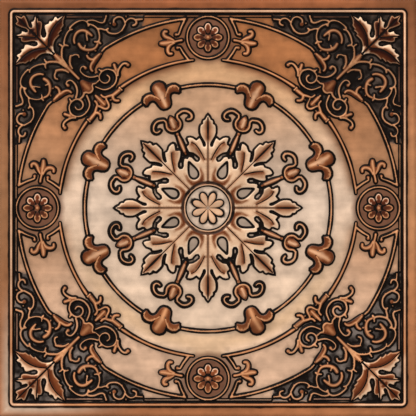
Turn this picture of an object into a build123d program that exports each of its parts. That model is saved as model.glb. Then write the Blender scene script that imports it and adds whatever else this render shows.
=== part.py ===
from build123d import *
from math import cos, radians, sin
import os

# Driving dimensions, in millimetres. The tile lies face up with its back on z = 0.
TILE = 610.0                # nominal 24 inch tile
SHEET = 0.7                 # thickness of the formed sheet
FIELD_TOP = 2.2             # the raised field inside the frame
FRAME_TOP = 5.0             # crest of the frame bead
BEAD_TOP = 4.4              # crest of the three ring beads
LEAF_TOP = 5.6              # crest of the medallion and of the corner leaves
SCROLL_TOP = 4.6            # crest of the clips, tulips, scrolls and petals
SHELL_TOP = 3.4             # shell under the corner scrolls

# Frame bead, as distances from the middle of the tile
FRAME_OUTER = 289.6
FRAME_INNER = 285.4
FRAME_CORNER = 4.0

# Field: a disc with slivers that reach the frame at the sides, and the cove between its two inner rings
FIELD_RADIUS = 281.2
FIELD_SIDE = 281.0
SLIVER_HALF_LENGTH = 94.0
COVE_RADII = (184.0, 199.0, 214.0)
COVE_DEPTH = 1.1

# Ring beads. Where they stop and start, in degrees from the middle of each side.
OUTER_RING = 278.4
MIDDLE_RING = 217.3
INNER_RING = 180.2
DISC_RING = 34.0
RING_HALF_WIDTH = 2.4
RING_CREST_HALF_WIDTH = 1.1
OUTER_STRETCH = (7.0, 32.0)
MIDDLE_STRETCH = (4.8, 35.5)

# Side rosettes
ROSETTE_CENTRE = 249.3
ROSETTE_RING = 30.5
COLLAR_RING = 42.3
COLLAR_STRETCHES = ((53.0, 86.0), (109.0, 138.5))
PETALS = 8
SPOKE = 360 / PETALS / 2
ROSETTE_PETAL = (21.5, 5.4)    # tip and half width
DISC_PETAL = (24.3, 5.2)
PETAL_HUB = 2.4                # radius of the button in the middle

# Outlines. A list is a run of straight edges, and a tuple of three points is an arc.
# Medallion, from the tip of an axis leaf to the tip of a diagonal leaf
MEDALLION = (
    [(0, 0), (0, 137.5), (8.2, 124.5), (12.6, 115), (9.5, 103), (4.8, 91), (11.3, 103), (17, 99.5)],
    ((17, 99.5), (24, 103.6), (31.3, 101.5)),
    [(31.3, 101.5), (28.8, 95), (32, 88.5), (22, 81), (13, 73)],
    [(13, 73), (14.5, 68), (21.5, 73.8), (30.3, 72.3), (35.5, 72)],
    [(35.5, 72), (38, 58), (41, 57.7), (42.6, 66), (39.2, 77), (39.5, 84), (43, 86), (47, 84.5), (51, 95)],
    [(51, 95), (57.5, 90), (60, 82.7), (63.5, 81), (61, 68), (62, 67), (66, 74), (66.7, 82)],
    ((66.7, 82), (70.5, 89), (77.5, 93.5)),
    [(77.5, 93.5), (85, 96.3), (97.8, 97.8), (0, 0)],
)

# Half of the teardrop hole between two medallion leaves, on the spoke: (across, along)
TEARDROP = (
    [(0, 73.3), (4.6, 65), (7, 56), (6, 49.5), (3, 46.7), (0, 46.3)],
)

# Half of the corner leaf, from its stem along the diagonal to its tip
CORNER_LEAF = (
    ((222, 222), (225.4, 237), (219, 250)),
    [(219, 250), (217.3, 255.5), (212, 260), (213.3, 262.7), (210, 266.5), (210.5, 275), (207.8, 284)],
    [(207.8, 284), (219.5, 277), (223.3, 280.5), (228.3, 273.5), (233.5, 269.8), (239.8, 266), (236.9, 255)],
    [(236.9, 255), (238.4, 249.8), (242.2, 250.8), (243.2, 258), (241.8, 266), (242.6, 272), (247.5, 273.5)],
    [(247.5, 273.5), (251.5, 283), (255.5, 273.3), (259, 271.5), (257.2, 265), (260.6, 265), (268.5, 283)],
    [(268.5, 283), (272.8, 279), (282, 282), (222, 222)],
)

# Half of the clip that straddles the inner ring, on the spoke
CLIP = (
    [(0, 156.5), (6, 157.7), (9.5, 162.5)],
    ((9.5, 162.5), (10.9, 170.5), (15, 175.2)),
    [(15, 175.2), (20, 174.8), (24.8, 171.3)],
    ((24.8, 171.3), (29.2, 178.5), (25.5, 185.8)),
    [(25.5, 185.8), (18.5, 188), (12.3, 186), (9, 195), (0, 199)],
)

# Tulip inside the clip, on the spoke: half of its cup with the bud, its stem, and its curled arm
TULIP_CUP = (
    [(0, 121.5), (7, 123.5), (10.7, 130), (10.4, 143.5), (5.4, 138), (4, 143.5), (0, 145.8)],
)
TULIP_STEM = (
    [(0, 90), (2.4, 93), (1.6, 123), (0, 123)],
)
TULIP_ARM = ((9.8, 142), (25, 142.5), (27, 131))
TULIP_ARM_HEADING = 35

# Low ground of the corner ornament, cut into the field, in half
CORNER_GROUND = (
    (94.4, 300), (94.4, 276), (158, 232), (138, 207), (132, 190), (140, 164), (152, 152), (300, 300),
)

# Corner ornament in half: the shell, the stem of the leaf, and scrolls as (heading in degrees, points)
SHELL = (
    [(188, 188), (178, 187.6), (169.5, 183.8), (160, 186)],
    [(160, 186), (168.6, 177), (167.5, 171), (151, 151), (188, 188)],
)
STEM = (
    [(187, 187), (187, 191), (204, 211), (223, 228), (226, 226), (187, 187)],
)
SCROLLS = (
    (72, ((158.5, 188), (156, 198), (146.5, 202.7), (135, 196), (135.8, 182.5), (146, 174), (164, 177))),
    (88, ((131.3, 193.5), (130.5, 202), (125.5, 209.5))),
    (-14, ((161.6, 193), (174.5, 191.3), (185, 198.5))),
    (46, ((204, 206), (211.5, 216), (214, 228))),
    (81, ((210.5, 237), (208, 251.5), (197.5, 261.5))),
    (-126, ((188.5, 239.5), (178, 231), (163, 235.5), (159, 250), (164, 264.5))),
    (119, ((202, 263.5), (190, 272.5), (176, 270))),
)
SCROLL_WIDTH = 3.2


def mirrored(points):
    """The same run on the other side of the spoke."""
    return type(points)((-across, along) for across, along in points)


def on_spoke(points):
    """A run given across and along the first spoke, as tile points."""
    a = radians(SPOKE)
    return type(points)(
        (along * sin(a) + across * cos(a), along * cos(a) - across * sin(a)) for across, along in points
    )


def shape(outline, mode=Mode.ADD):
    """A face inside runs laid end to end."""
    with BuildLine() as rim:
        for run in outline:
            if isinstance(run, tuple):
                ThreePointArc(*run)
            else:
                Polyline(*run)
    make_face(rim.edges(), mode=mode)


def spoke_shape(outline, mode=Mode.ADD):
    """A symmetric shape on the spoke, from its half outline."""
    shape([on_spoke(side) for run in outline for side in (run, mirrored(run))], mode)


def scroll(heading, points):
    """A raised strip of even width along tangent arcs that set out in the given heading."""
    spine = []
    tangent = Vector(cos(radians(heading)), sin(radians(heading)))
    with BuildLine() as rim:
        for start, end in zip(points, points[1:]):
            spine.append(TangentArc(start, end, tangent=tangent, mode=Mode.PRIVATE))
            tangent = spine[-1] % 1
        sides = []
        for half in (SCROLL_WIDTH / 2, -SCROLL_WIDTH / 2):
            sides.append([
                ThreePointArc(*[arc @ t + (arc % t).rotate(Axis.Z, 90) * half for t in (0, 0.5, 1)])
                for arc in spine
            ])
        Line(sides[0][0] @ 0, sides[1][0] @ 0)
        Line(sides[0][-1] @ 1, sides[1][-1] @ 1)
    make_face(rim.edges())


def petals(count, tip, half_width, first=0.0):
    """A ring of plump petals that meet in the middle."""
    half = [(0, 0), (0.6 * tip, half_width), (0.9 * tip, 0.65 * half_width), (tip, 0)]
    with BuildSketch(mode=Mode.PRIVATE) as petal:
        shape([half, [(along, -across) for along, across in half]])
    with PolarLocations(0, count, first):
        add(petal.sketch)
    Circle(PETAL_HUB)


def eight_ways():
    """Repeat the sketch in hand from one octant round the whole tile."""
    mirror(about=Plane.YZ)
    mirror(about=Plane.XZ)
    mirror(about=Plane(origin=(0, 0, 0), x_dir=(1, 1, 0), z_dir=(1, -1, 0)))


def ring(section, first=0.0, last=360.0, centre=(0, 0), mode=Mode.ADD):
    """Revolve a section, as (radius, height) points, between two angles about a centre."""
    along = (cos(radians(first)), sin(radians(first)), 0)
    across = (sin(radians(first)), -cos(radians(first)), 0)
    with BuildSketch(Plane(origin=(*centre, 0), x_dir=along, z_dir=across)) as profile:
        with BuildLine():
            Polyline(*section, close=True)
        make_face()
    revolve(profile.sketch, axis=Axis((*centre, 0), (0, 0, 1)), revolution_arc=last - first, mode=mode)


def bead(radius, first=0.0, last=360.0, centre=(0, 0)):
    """A round bead."""
    left = [(radius - RING_HALF_WIDTH, SHEET), (radius - RING_CREST_HALF_WIDTH, BEAD_TOP)]
    right = [(radius + RING_CREST_HALF_WIDTH, BEAD_TOP), (radius + RING_HALF_WIDTH, SHEET)]
    ring(left + right, first, last, centre)


def all_beads():
    """Every round bead of the tile."""
    bead(INNER_RING)
    bead(DISC_RING)
    for side in (0, 90, 180, 270):
        centre = (ROSETTE_CENTRE * cos(radians(side)), ROSETTE_CENTRE * sin(radians(side)))
        bead(ROSETTE_RING, centre=centre)
        for radius, middle, stretches in (
            (OUTER_RING, (0, 0), (OUTER_STRETCH,)),
            (MIDDLE_RING, (0, 0), (MIDDLE_STRETCH,)),
            (COLLAR_RING, centre, COLLAR_STRETCHES),
        ):
            for first, last in stretches:
                bead(radius, side + first, side + last, middle)
                bead(radius, side - last, side - first, middle)


def field_outline(inset):
    """Plan of the field, without the low ground of the corners."""
    Circle(FIELD_RADIUS - inset)
    Rectangle(2 * (SLIVER_HALF_LENGTH - inset), 2 * (FIELD_SIDE - inset))
    Rectangle(2 * (FIELD_SIDE - inset), 2 * (SLIVER_HALF_LENGTH - inset))
    with BuildSketch(mode=Mode.PRIVATE) as corners:
        shape([[(x - inset, y - inset) for x, y in CORNER_GROUND + CORNER_GROUND[:1]]])
        eight_ways()
    add(corners.sketch, mode=Mode.SUBTRACT)


def cove(top):
    """The shallow cove, cut into a field whose top is at the given height."""
    near, middle, far = COVE_RADII
    ring([(near, top + 1), (near, top), (middle, top - COVE_DEPTH), (far, top), (far, top + 1)],
         mode=Mode.SUBTRACT)


def frame_outline(inset):
    """Plan of the square frame bead."""
    outer = 2 * (FRAME_OUTER - inset)
    inner = 2 * (FRAME_INNER + inset)
    RectangleRounded(outer, outer, FRAME_CORNER)
    RectangleRounded(inner, inner, FRAME_CORNER, mode=Mode.SUBTRACT)


with BuildPart() as underside:
    # Hollow of the field and the frame bead, one sheet thickness below the face
    with BuildSketch(Plane.XY):
        field_outline(SHEET)
    extrude(amount=FIELD_TOP - SHEET)
    cove(FIELD_TOP - SHEET)
    with BuildSketch(Plane.XY):
        frame_outline(SHEET)
    extrude(amount=FRAME_TOP - SHEET)

with BuildPart() as ceiling_tile:
    # Flat flange, which is also the level of the corner ground
    with BuildSketch(Plane.XY):
        Rectangle(TILE, TILE)
    extrude(amount=SHEET)

    # Raised field
    with BuildSketch(Plane.XY):
        field_outline(0)
    extrude(amount=FIELD_TOP)
    cove(FIELD_TOP)

    # Frame bead and round beads
    with BuildSketch(Plane.XY):
        frame_outline(0)
    extrude(amount=FRAME_TOP)
    all_beads()

    # Medallion with its teardrop holes, and the corner leaves
    with BuildSketch(Plane.XY):
        shape(MEDALLION)
        spoke_shape(TEARDROP, Mode.SUBTRACT)
        shape(CORNER_LEAF)
        eight_ways()
        Circle(DISC_RING, mode=Mode.SUBTRACT)
    extrude(amount=LEAF_TOP)

    # Petals, clips, tulips and corner scrolls
    with BuildSketch(Plane.XY):
        spoke_shape(CLIP)
        spoke_shape(TULIP_CUP)
        spoke_shape(TULIP_STEM)
        scroll(TULIP_ARM_HEADING - SPOKE, on_spoke(TULIP_ARM))
        scroll(180 - TULIP_ARM_HEADING - SPOKE, on_spoke(mirrored(TULIP_ARM)))
        shape(STEM)
        for heading, points in SCROLLS:
            scroll(heading, points)
        eight_ways()
        petals(PETALS, *DISC_PETAL, SPOKE)
        with PolarLocations(ROSETTE_CENTRE, 4):
            petals(PETALS, *ROSETTE_PETAL)
    extrude(amount=SCROLL_TOP)

    # Shells under the corner scrolls
    with BuildSketch(Plane.XY):
        shape(SHELL)
        eight_ways()
    extrude(amount=SHELL_TOP)

    add(underside.part, mode=Mode.SUBTRACT)

os.makedirs("parts", exist_ok=True)
ceiling_tile.part.label = "ceiling_tile"
export_step(ceiling_tile.part, "parts/ceiling_tile.step")
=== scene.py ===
from dataclasses import dataclass
from itertools import product
from math import atan2, cos, hypot, pi, radians, sin

import bpy
import numpy as np
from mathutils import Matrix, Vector
from mathutils.geometry import delaunay_2d_cdt


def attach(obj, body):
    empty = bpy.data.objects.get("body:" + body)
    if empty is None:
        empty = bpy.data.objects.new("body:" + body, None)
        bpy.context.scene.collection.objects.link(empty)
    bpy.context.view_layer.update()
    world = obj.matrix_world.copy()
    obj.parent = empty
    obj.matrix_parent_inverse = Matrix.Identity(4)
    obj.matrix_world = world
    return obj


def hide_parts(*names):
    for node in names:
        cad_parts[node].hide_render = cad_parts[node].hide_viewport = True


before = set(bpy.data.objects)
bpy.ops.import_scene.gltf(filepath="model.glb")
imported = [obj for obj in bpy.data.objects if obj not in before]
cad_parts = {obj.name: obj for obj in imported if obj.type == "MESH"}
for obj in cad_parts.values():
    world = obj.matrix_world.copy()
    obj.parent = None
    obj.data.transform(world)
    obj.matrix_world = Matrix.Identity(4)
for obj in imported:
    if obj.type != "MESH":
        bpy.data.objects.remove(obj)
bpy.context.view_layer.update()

# Sizes are in millimetres until the mesh is made. The ornament repeats in eight mirrored octants,
# and it is drawn once, in the octant between the +Y axis and the +X+Y diagonal.
MM = 0.001
HALF = 305.0
SHEET = 0.7
SPOKE = radians(22.5)

# Heights of the face without its ornament. The flange is at the thickness of the sheet.
CORNER_LEVEL = 1.0
FIELD = 2.2
COVE_DEPTH = 1.1

# Plan of the field: its radius, the arms that reach the frame, the cove and its distance from a rosette
FIELD_RADIUS = 281.5
ARM_HALF, ARM_REACH = 94, 281.2
COVE_IN, COVE_OUT = 182, 216
COVE_GAP = 40

# Middle radius of the round beads, and the centre of the rosette on the +Y side
OUTER_RING, MIDDLE_RING, INNER_RING = 278.4, 217.3, 180.2
DISC_RING = 34.0
DISC_GROOVE = (35.3, 41)
ROSETTE = (0.0, 249.3)
ROSETTE_RING = 30.5

# Frame bead, as distances from the middle of the tile: its middle, its mesh lines over the grooves, feet,
# flanks and crest, where its corner starts to bend, and where the flange is flat on the back as well
FRAME_LINE = 287.6
FRAME_MARKS = (281.3, 282.4, 284.7, 286.2, 287.6, 289.0, 290.5, 292.6, 294.6)
FRAME_ROUND = 283.0
FLAT_FLANGE = 292

# How far each kind of form stands above its ground
SCROLL_RISE = 2.2
SCROLL_TOP = 3.3
LEAF_RISE = 3.0
RING_RISE = 2.0
FRAME_RISE = 3.4

# Black patina: how far it creeps out over the ground and up the flank of a form, and how far the painted
# shadow on the ground beside a form reaches
HALO = 2.4
FLANK = 1.8
FOOT = 1.2
SHADOW_REACH = 6.0
GROUND_DIRT = 0.34

# Least distance between mesh points on lines of each rank: crests and rims, feet and veins, flanks, halos
GAPS = (0.55, 0.6, 0.75, 0.9)

# The back: its square step, and the distances at which it looks for the lowest place of the face
BACK_STEP = 5.0
PROBES = (-3.6, -1.8, 0, 1.8, 3.6)

forms = []


def linear(*rgb):
    """An sRGB colour, 0 to 255, as linear values."""
    return np.array([(c / 255 / 12.92) if c < 11 else ((c / 255 + 0.055) / 1.055) ** 2.4 for c in rgb])


def smooth(x, low, high):
    """Smooth step from 0 at low to 1 at high."""
    t = np.clip((x - low) / (high - low), 0, 1)
    return t * t * (3 - 2 * t)


def curve(points, step=2.0, closed=False):
    """A smooth curve through given points, as points about one step apart."""
    p = np.asarray(points, float)
    if len(p) < 3:
        count = max(1, int(round(hypot(*(p[1] - p[0])) / step)))
        return p[0] + (p[1] - p[0]) * np.linspace(0, 1, count + 1)[:, None]
    if closed:
        p = np.vstack([p[-1], p, p[0], p[1]])
    else:
        p = np.vstack([2 * p[0] - p[1], p, 2 * p[-1] - p[-2]])
    out = []
    for i in range(1, len(p) - 2):
        a, b, c, d = p[i - 1:i + 3]
        count = max(1, int(round(hypot(*(c - b)) / step)))
        for t in np.arange(count) / count:
            out.append(0.5 * (2 * b + (c - a) * t + (2 * a - 5 * b + 4 * c - d) * t ** 2
                              + (3 * b - a - 3 * c + d) * t ** 3))
    if not closed:
        out.append(p[-2])
    return np.array(out)


def on_spoke(points):
    """Points given across and along the 22.5 degree spoke, as tile points."""
    return [(s * sin(SPOKE) + w * cos(SPOKE), s * cos(SPOKE) - w * sin(SPOKE)) for w, s in points]


def flip(points):
    """The same points on the other side of the spoke."""
    return [(-w, s) for w, s in points]


def both_sides(points):
    """An outline across the spoke, from its half that starts and ends on it."""
    return on_spoke(points + flip(points[1:-1])[::-1])


def arc(centre, radius, first, last, step=4.0):
    """Points on an arc, its angles in degrees from +X."""
    count = max(3, int(abs(radians(last - first)) * radius / step) + 1)
    a = np.radians(np.linspace(first, last, count))
    return np.column_stack([centre[0] + radius * np.cos(a), centre[1] + radius * np.sin(a)])


def beside(strip, p):
    """Distance of points from the line of a strip or vein, and its half width there."""
    d, along = to_line(p, strip.line)
    return d, np.interp(along, np.arange(len(strip.half)), strip.half)


def spread(widths, share):
    """Widths given evenly along a line, at any shares of its length."""
    widths = np.atleast_1d(np.asarray(widths, float))
    return np.interp(share, np.linspace(0, 1, len(widths)), widths)


class Strip:
    """A raised strip along a centreline, with light as its bright half width. Raw points are used as given,
    and a strip that is drawn has its mesh lines already."""

    veins = ()

    def __init__(self, points, light=1.4, rise=SCROLL_RISE, step=2.0, stain=0.0, foot=FOOT, raw=False,
                 warm=1.0, halo=HALO, drawn=False):
        self.line = np.asarray(points, float) if raw else curve(points, step)
        s = np.concatenate([[0], np.cumsum(np.hypot(*np.diff(self.line, axis=0).T))])
        self.half = spread(light, s / s[-1]) + foot
        self.rise, self.stain, self.warm, self.halo, self.drawn = rise, stain, warm, halo, drawn

    def box(self):
        """Corners of the area that it can mark."""
        reach = self.half.max() + SHADOW_REACH
        return self.line.min(0) - reach, self.line.max(0) + reach

    def sample(self, p):
        """Rise, signed distance past the foot, black, stain and crest highlight (clean film with a painted
        highlight) at points near it.
        """
        d, half = beside(self, p)
        u = np.clip(d / half, 0, 1)
        rise = self.rise * (1 - u ** 2) ** 0.75
        dirt = np.clip(1 - (half - d) / 1.4, 0, 1)
        wide = smooth(half, 2.6, 3.6)
        stain = np.maximum(self.stain, (0.6 + 0.6 * wide) * smooth(u, 0.25, 0.8))
        # The last value is the crest's clean film with a painted highlight
        return rise, d - half, dirt, stain, 1 - smooth(u, 0.05, 0.5)

    def mesh_lines(self):
        """Its lines for the mesh, as (rank, line, closed, highest cover)."""
        if self.drawn:
            return []
        found = [(1, outline_of(self.line, self.half), True, 0),
                 (3, outline_of(self.line, self.half + self.halo), True, 0)]
        if np.ptp(self.line, axis=0).max() > 0.5:
            found.append((0, self.line, False, self.rise))
        if self.half.max() > 2.9:
            found.append((2, outline_of(self.line, self.half * 0.55), True, 0.75 * self.rise))
        return found

    def clear(self, p, rank):
        """Which points of its own line don't fold back over the strip."""
        d, half = beside(self, p)
        return d > 0.85 * (0 * half - 1, half, half * 0.55, half + self.halo)[rank]


@dataclass
class Leaf:
    """A leaf mass with a rounded edge, cut by dark veins. A zone is a sunk, stained patch with a soft edge,
    a highlight line is a painted highlight along a line that lifts the stain there, and a wedge runs from
    its rim to the tile's middle."""

    rim: np.ndarray
    rise: float = LEAF_RISE
    veins: tuple = ()
    zones: tuple = ()
    glows: tuple = ()
    holes: tuple = ()
    roof: float = 0.35
    paint: str = ""
    stain: float = 0.0
    fade: float = 4.0
    warm: float = 1.0
    flank: float = FLANK
    halo: float = HALO
    dish: float = 0.0
    wedge: bool = False

    def box(self):
        """Corners of the area that it can mark."""
        return self.rim.min(0) - SHADOW_REACH, self.rim.max(0) + SHADOW_REACH

    def to_rim(self, p):
        """Distance of points from the nearest edge."""
        edges = [self.rim if self.wedge else looped(self.rim)] + [looped(hole) for hole in self.holes]
        return np.min([to_line(p, edge)[0] for edge in edges], axis=0)

    def sample(self, p):
        """Rise, signed distance past the rim, black, stain and the bright band inside the rim (clean film
        with a painted highlight) at points near it.
        """
        depth = self.to_rim(p)
        within = inside(p, np.vstack([self.rim, [(0, 0)]]) if self.wedge else self.rim)
        for hole in self.holes:
            within &= ~inside(p, hole)
        dirt = np.clip(1 - depth / self.flank, 0, 1)
        stain = self.stain * (1 - smooth(depth, 1.4, self.fade))
        reach, sunk = np.full(len(p), 1e9), np.zeros(len(p))
        for vein in self.veins:
            d, half = beside(vein, p)
            u = np.clip(d / half, 0, 1.5)
            sunk = np.maximum(sunk, vein.depth * (1 - np.clip(u, 0, 1) ** 2))
            dirt = np.maximum(dirt, vein.dark * (1 - smooth(u, 0.35, 1.3)))
            stain = np.maximum(stain, 0.9 * (1 - smooth(d, 0.5, 1.7)))
            reach = np.minimum(reach, d)
        for patch, soft, strength, sink, source in self.zones:
            share = soft_patch(p, np.array(patch, float), soft, source)
            stain = np.maximum(stain, strength * share)
            sunk = np.maximum(sunk, sink * share)
        share = depth / (depth + reach + 1e-6) if self.veins else np.clip(depth / 5.0, 0, 1)
        body = 1 - self.roof * (1 - share) ** 1.5
        if self.dish:
            body = body * (1 - self.dish * smooth(depth, 1, 3))
            stain = np.maximum(stain, 1.5 * smooth(depth, 1.8, 3.2) + 1.5 * smooth(depth, 3.2, 6))
        stain = self.painted(p, depth, reach, stain)
        # Bright band inside the rim: clean film with a painted highlight
        crest_wipe_and_highlight = (1 - smooth(depth, 2, 4.2)) * (1 - smooth(stain, 0.2, 0.6))
        # Painted highlights along given lines: less stain and brighter
        for line, width, strength in self.glows:
            share = strength * (1 - smooth(to_line(p, curve(line))[0], 0, width))
            stain = stain * (1 - share)
            crest_wipe_and_highlight = np.maximum(crest_wipe_and_highlight, share ** 1.5)
            sunk = np.minimum(sunk, 1 - 0.5 * share)
        edge = np.sqrt(np.clip(1 - (1 - np.clip(depth / 1.7, 0, 1)) ** 2, 0, 1))
        rise = np.where(within, self.rise * edge * body * (1 - sunk), 0)
        return rise, np.where(within, -depth, depth), dirt, stain, crest_wipe_and_highlight

    def painted(self, p, depth, reach, stain):
        """Stain with the brown of the whole mass, or of the shaded half of each lobe."""
        if self.paint == "brown":
            return np.maximum(stain, 2.6 - 1.2 * smooth(depth, 2, 6))
        if self.paint == "halves":
            half = shaded_half(p)
            deep = half * smooth(depth, 2, 3.2)
            near_vein = 1 - smooth(reach, 1.5, 7)
            light_side = 0.9 * (1 - deep) * near_vein * smooth(depth, 2, 4)
            return np.max([stain, 0.4 * half, deep * (2.0 + 2.4 * near_vein), light_side], axis=0)
        return stain

    def mesh_lines(self):
        """Its lines for the mesh, as (rank, line, closed, highest cover)."""
        found = []
        for rim in [self.rim, *self.holes]:
            n = sideways(np.roll(rim, -1, axis=0) - np.roll(rim, 1, axis=0))
            found.append((0, rim, not self.wedge, 0))
            for rank, shift in ((2, self.flank), (2, -self.flank), (3, self.halo), (3, -self.halo)):
                found.append((rank, rim + n * shift, not self.wedge, self.rise))
        for vein in self.veins:
            n = sideways(np.gradient(vein.line, axis=0))
            found.append((1, vein.line, False, self.rise))
            for way in (1, -1):
                found.append((2, vein.line + n * (way * (vein.half + 0.5))[:, None], False, self.rise))
        return found

    def clear(self, p, rank):
        """Which points of its own line don't come back too near its rim."""
        return self.to_rim(p) > 0.85 * (-1, -1, self.flank, self.halo)[rank]


class Vein:
    """A groove: its line, half width, depth as a share of the rise, and darkness."""

    def __init__(self, points, half, depth, dark):
        self.line = curve(points, 2.0)
        self.half = spread(half, np.linspace(0, 1, len(self.line)))
        self.depth, self.dark = depth, dark


def tube(*shape, **finish):
    """Add a strip."""
    forms.append(Strip(*shape, **finish))


def ball(centre, radius, rise=SCROLL_RISE):
    """A round boss."""
    x, y = centre
    tube([(x - 0.05, y), (x + 0.05, y)], radius - 0.4, rise)


def leaf(rim, rise, veins=(), **finish):
    """Add a leaf mass, with its veins as (points, half widths, depth, darkness)."""
    forms.append(Leaf(rim, rise, [Vein(*given) for given in veins], **finish))


def whole_across_diagonal(points):
    """An outline, from its half that starts and ends on the diagonal."""
    half = cut(points, 2.4)
    return np.vstack([half, half[-2:0:-1, ::-1]])


def cut(points, step, closed=False):
    """A line with straight stretches, cut into steps."""
    p = np.asarray(points, float)
    out = []
    for a, b in zip(p, np.roll(p, -1, axis=0) if closed else p[1:]):
        count = max(1, int(round(hypot(*(b - a)) / step)))
        out += [a + (b - a) * k / count for k in range(count)]
    return np.array(out if closed else out + [p[-1]])


def to_line(points, line):
    """Distance of points from a polyline, and how far along it they lie."""
    a, b = line[:-1], line[1:]
    d = b - a
    length = np.maximum((d ** 2).sum(1), 1e-9)
    best = np.full(len(points), 1e9)
    along = np.zeros(len(points))
    for k in range(0, len(points), 4000):
        part = points[k:k + 4000]
        rel = part[:, None] - a[None]
        t = np.clip((rel * d).sum(2) / length, 0, 1)
        gap = np.hypot(rel[..., 0] - t * d[:, 0], rel[..., 1] - t * d[:, 1])
        near = gap.argmin(1)
        rows = np.arange(len(part))
        best[k:k + 4000] = gap[rows, near]
        along[k:k + 4000] = near + t[rows, near]
    return best, along


def inside(points, rim):
    """Which points lie inside a closed outline."""
    x, y = points[:, 0][:, None], points[:, 1][:, None]
    a, b = rim, np.roll(rim, -1, axis=0)
    crosses = (a[:, 1] > y) != (b[:, 1] > y)
    with np.errstate(divide="ignore", invalid="ignore"):
        at = a[:, 0] + (y - a[:, 1]) / (b[:, 1] - a[:, 1]) * (b[:, 0] - a[:, 0])
    return ((crosses & (x < at)).sum(1) % 2) == 1


# Ground

# The low ground behind the corner ornament, as its border in the octant
CORNER_GROUND = [
    (94, 290), (94, 264.2), (121, 252.2), (147, 237.8), (155.5, 229), (164, 219), (167, 208), (168, 199),
    (163, 196), (159.5, 193), (157, 199), (148, 204), (138, 202), (132.5, 193), (133, 186), (137, 178),
    (130, 174), (133, 167), (139, 162), (143, 158), (147, 156), (144, 150), (146, 144.5), (150, 143),
    (290, 290),
]


def ground(p):
    """Height of the sheet without its ornament."""
    x, y = p[:, 0], p[:, 1]
    r = np.hypot(x, y)
    in_field = (r < FIELD_RADIUS) | ((x < ARM_HALF) & (y < ARM_REACH))
    z = np.where(in_corner_ground(p), CORNER_LEVEL, np.where(in_field, FIELD, SHEET))
    cove = np.clip((r - COVE_IN) / (COVE_OUT - COVE_IN), 0, 1)
    return z - COVE_DEPTH * np.sin(pi * cove) ** 2 * (np.hypot(x, y - ROSETTE[1]) > COVE_GAP)


def in_corner_ground(p):
    """The low, dark ground behind the corner ornament."""
    return inside(p, np.array(CORNER_GROUND, float)) & (p < FIELD_RADIUS).all(1)


def square_line(mark):
    """A line parallel to the tile's edge, up to the diagonal, rounded near the corner."""
    straight = [(x, mark) for x in np.arange(0, FRAME_ROUND - 1, 5.0)]
    if mark - FRAME_ROUND < 1:
        return np.vstack([straight, [(mark, mark)]])
    return np.vstack([straight, arc((FRAME_ROUND, FRAME_ROUND), mark - FRAME_ROUND, 90, 45, 1.2)])


def frame_bead():
    """The square bead round the tile, and the low strips along its inside."""
    line = np.vstack([[(-5, FRAME_LINE)], square_line(FRAME_LINE)])
    tube(line, 1.9, FRAME_RISE, raw=True, foot=1, warm=0.35, drawn=True)
    tube([(-4, 280.6), (92, 280.6)], 0.25, 0.35, 6)
    tube([(155, 279.4), (207, 279.4)], 0.5, 0.7, 6, stain=1.8)


def ring_beads():
    """The three round beads. The outer two stop at the corner ornament and the side rosette."""
    tube(arc((0, 0), INNER_RING, 90, 45), 1.1, RING_RISE, raw=True)
    run = arc((0, 0), MIDDLE_RING, degrees_of(126, 176.5), degrees_of(21.5, 216.2))
    tube(run, [1.9, 1.3, 1.1, 1.1, 1.1, 1.1, 1.1, 0.4], RING_RISE, raw=True)
    run = arc((0, 0), OUTER_RING, degrees_of(147, 237), degrees_of(33, 276.4))
    tube(np.vstack([[(155, 229.3), (153.5, 231), (151, 234)], run]), 1.1, RING_RISE, raw=True)
    ball((157, 226.3), 2, 2.6)
    tube([(125.6, 172.4), (129.6, 176)], 0.9, 2.8)


def degrees_of(x, y):
    """Direction of a point from the middle of the tile, in degrees."""
    return atan2(y, x) * 180 / pi


def petal(angle, start, tip, half, rise):
    """One plump petal of the disc flower: a blunt oval."""
    edge = [(start, 0.2), (start + 0.35 * (tip - start), 0.75), (start + 0.68 * (tip - start), 1),
            (start + 0.93 * (tip - start), 0.6)]
    shape = [(u, -half * v) for u, v in edge] + [(tip, 0)] + [(u, half * v) for u, v in edge[::-1]]
    a = radians(angle)
    place = [(u * cos(a) - v * sin(a), u * sin(a) + v * cos(a)) for u, v in shape]
    leaf(curve(place, 2, closed=True), rise, roof=0.1, flank=1.4, stain=0.3, halo=2.2, warm=0.1)


def centre_disc():
    """Ringed disc with eight plump petals."""
    tube(arc((0, 0), DISC_RING, 90, 45, 2), 1, 1.8, raw=True, foot=1, halo=1.4, warm=0.6)
    for angle in (22.5, 67.5, 112.5):
        petal(angle, 1.5, 24.3, 5.4, 1.6)


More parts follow.
